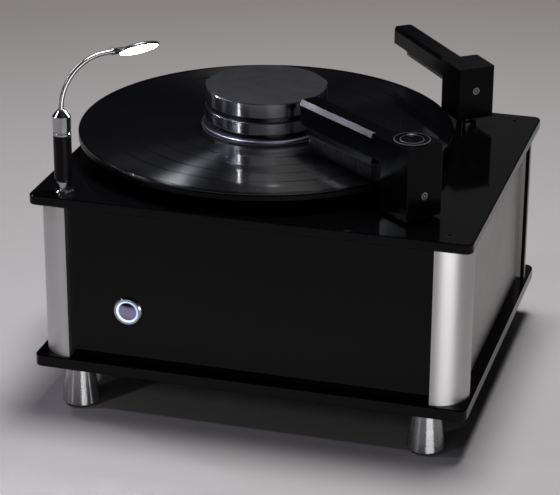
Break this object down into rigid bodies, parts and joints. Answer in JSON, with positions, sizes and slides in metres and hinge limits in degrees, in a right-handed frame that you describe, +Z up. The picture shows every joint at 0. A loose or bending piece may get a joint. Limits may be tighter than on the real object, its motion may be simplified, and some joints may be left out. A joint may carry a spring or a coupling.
{
  "type": "record cleaning machine",
  "caption": "Tabletop machine that scrubs and vacuums a vinyl record: square gloss cabinet with a clamped turntable, swinging brush arm, suction arm, power button and small neck lamp.",
  "frame": {"origin": "on the table, under the middle of the whole machine's outline seen from above", "axes": "+Z up, +Y towards the rear, so the front panel with the power button faces -Y"},
  "size_m": [0.3528, 0.3398, 0.288],
  "materials": {
    "gloss_black": "high gloss black acrylic",
    "rear_black": "satin black powder coat",
    "satin_aluminium": "satin brushed, clear anodised",
    "side_aluminium": "fine brushed, clear anodised",
    "chrome": "polished",
    "rubber": "matt",
    "screw_steel": "turned",
    "screw_black": "black oxide",
    "light_ring": "lit translucent ring",
    "button_metal": "polished dome",
    "black_plastic": "moulded, satin",
    "lamp_silver": "satin silver",
    "lamp_glow": "lit diffuser",
    "platter_black": "satin black acrylic",
    "vinyl": "grooved, glossy",
    "clamp_grey": "dark grey anodised, turned and polished",
    "clamp_black": "black anodised",
    "clamp_bright": "turned bright",
    "arm_black": "black anodised, satin",
    "holder_black": "satin",
    "bristle": "nylon filament",
    "felt": "short felt",
    "motor_metal": "satin",
    "brass": "turned",
    "tank_plastic": "milky moulded",
    "hose_plastic": "soft grey",
    "circuit_board": "printed board"
  },
  "bodies": {
    "cabinet": {"bottom_plate": "gloss_black", "deck": "gloss_black", "post_front_left": "satin_aluminium", "post_front_right": "satin_aluminium", "post_rear_left": "satin_aluminium", "post_rear_right": "satin_aluminium", "front_panel": "gloss_black", "rear_panel": "rear_black", "left_panel": "side_aluminium", "right_panel": "side_aluminium", "feet": "chrome", "foot_pads": "rubber", "plate_screws": "screw_black", "power_bezel": "chrome", "power_ring": "light_ring", "power_switch": "black_plastic", "lamp_socket": "chrome", "bearing_housing": "screw_steel", "brush_bush": "chrome", "suction_bush": "chrome", "stop_pins": "chrome", "drive_motor": "motor_metal", "drive_belt": "rubber", "blower_housing": "black_plastic", "waste_tank": "tank_plastic", "hoses": "hose_plastic", "fluid_tank": "tank_plastic", "fluid_pump": "black_plastic", "power_supply": "circuit_board", "mains_inlet": "black_plastic"},
    "platter": {"platter": "platter_black", "platter_hub": "platter_black", "spindle": "screw_steel", "platter_pulley": "black_plastic", "record": "vinyl"},
    "clamp": {"clamp_cap": "clamp_grey", "clamp_core": "clamp_black", "clamp_disc": "clamp_grey", "clamp_flange": "clamp_bright", "clamp_seal": "rubber"},
    "brush_swivel": {"brush_shaft": "chrome"},
    "brush_arm": {"brush_arm": "arm_black", "brush_holder": "holder_black", "brush_bristles": "bristle", "brush_screws": "screw_steel", "pump_bezel": "arm_black"},
    "pump_button": {"pump_button": "arm_black"},
    "suction_swivel": {"suction_shaft": "chrome"},
    "suction_arm": {"suction_arm": "arm_black", "suction_nozzle": "holder_black", "suction_lips": "felt", "suction_screw": "screw_steel"},
    "lamp": {"lamp_handle": "black_plastic", "lamp_sleeve": "chrome", "lamp_neck": "chrome", "lamp_head": "lamp_silver", "lamp_lens": "lamp_glow"},
    "power_button": {"power_cap": "button_metal"},
    "motor_pulley": {"motor_pulley": "brass"},
    "fan": {"fan_wheel": "black_plastic"}
  },
  "joints": [
    {"name": "platter_spin", "type": "hinge", "parent": "cabinet", "child": "platter", "pos_m": [-0.0256, -0.01288, 0.178], "axis": [0, 0, 1], "continuous": true},
    {"name": "clamp_lift", "type": "slide", "parent": "platter", "child": "clamp", "axis": [0, 0, 1], "range_m": [0, 0.03]},
    {"name": "brush_swing", "type": "hinge", "parent": "cabinet", "child": "brush_swivel", "pos_m": [0.1194, -0.12448, 0.178], "axis": [0, 0, 1], "range_deg": [0, 85]},
    {"name": "brush_raise", "type": "slide", "parent": "brush_swivel", "child": "brush_arm", "axis": [0, 0, 1], "range_m": [0, 0.008]},
    {"name": "pump_press", "type": "slide", "parent": "brush_arm", "child": "pump_button", "axis": [0, 0, -1], "range_m": [0, 0.0015], "stiffness_N_per_m": 400, "springref_m": -0.001},
    {"name": "suction_swing", "type": "hinge", "parent": "cabinet", "child": "suction_swivel", "pos_m": [0.1189, 0.08392, 0.178], "axis": [0, 0, 1], "range_deg": [0, 85.7]},
    {"name": "suction_raise", "type": "slide", "parent": "suction_swivel", "child": "suction_arm", "axis": [0, 0, 1], "range_m": [-0.0092, 0]},
    {"name": "lamp_swivel", "type": "hinge", "parent": "cabinet", "child": "lamp", "pos_m": [-0.1455, -0.15388, 0.178], "axis": [0, 0, 1], "range_deg": [-170, 170]},
    {"name": "power_press", "type": "slide", "parent": "cabinet", "child": "power_button", "axis": [0, 1, 0], "range_m": [0, 0.0015], "stiffness_N_per_m": 400, "springref_m": -0.001},
    {"name": "motor_spin", "type": "hinge", "parent": "cabinet", "child": "motor_pulley", "pos_m": [-0.0256, 0.06212, 0.13], "axis": [0, 0, 1], "continuous": true},
    {"name": "fan_spin", "type": "hinge", "parent": "cabinet", "child": "fan", "pos_m": [0.0874, -0.00388, 0.043], "axis": [0, 0, 1], "continuous": true}
  ],
  "couplings": [
    {"joint": "motor_spin", "follows": "platter_spin", "ratio": 5}
  ]
}
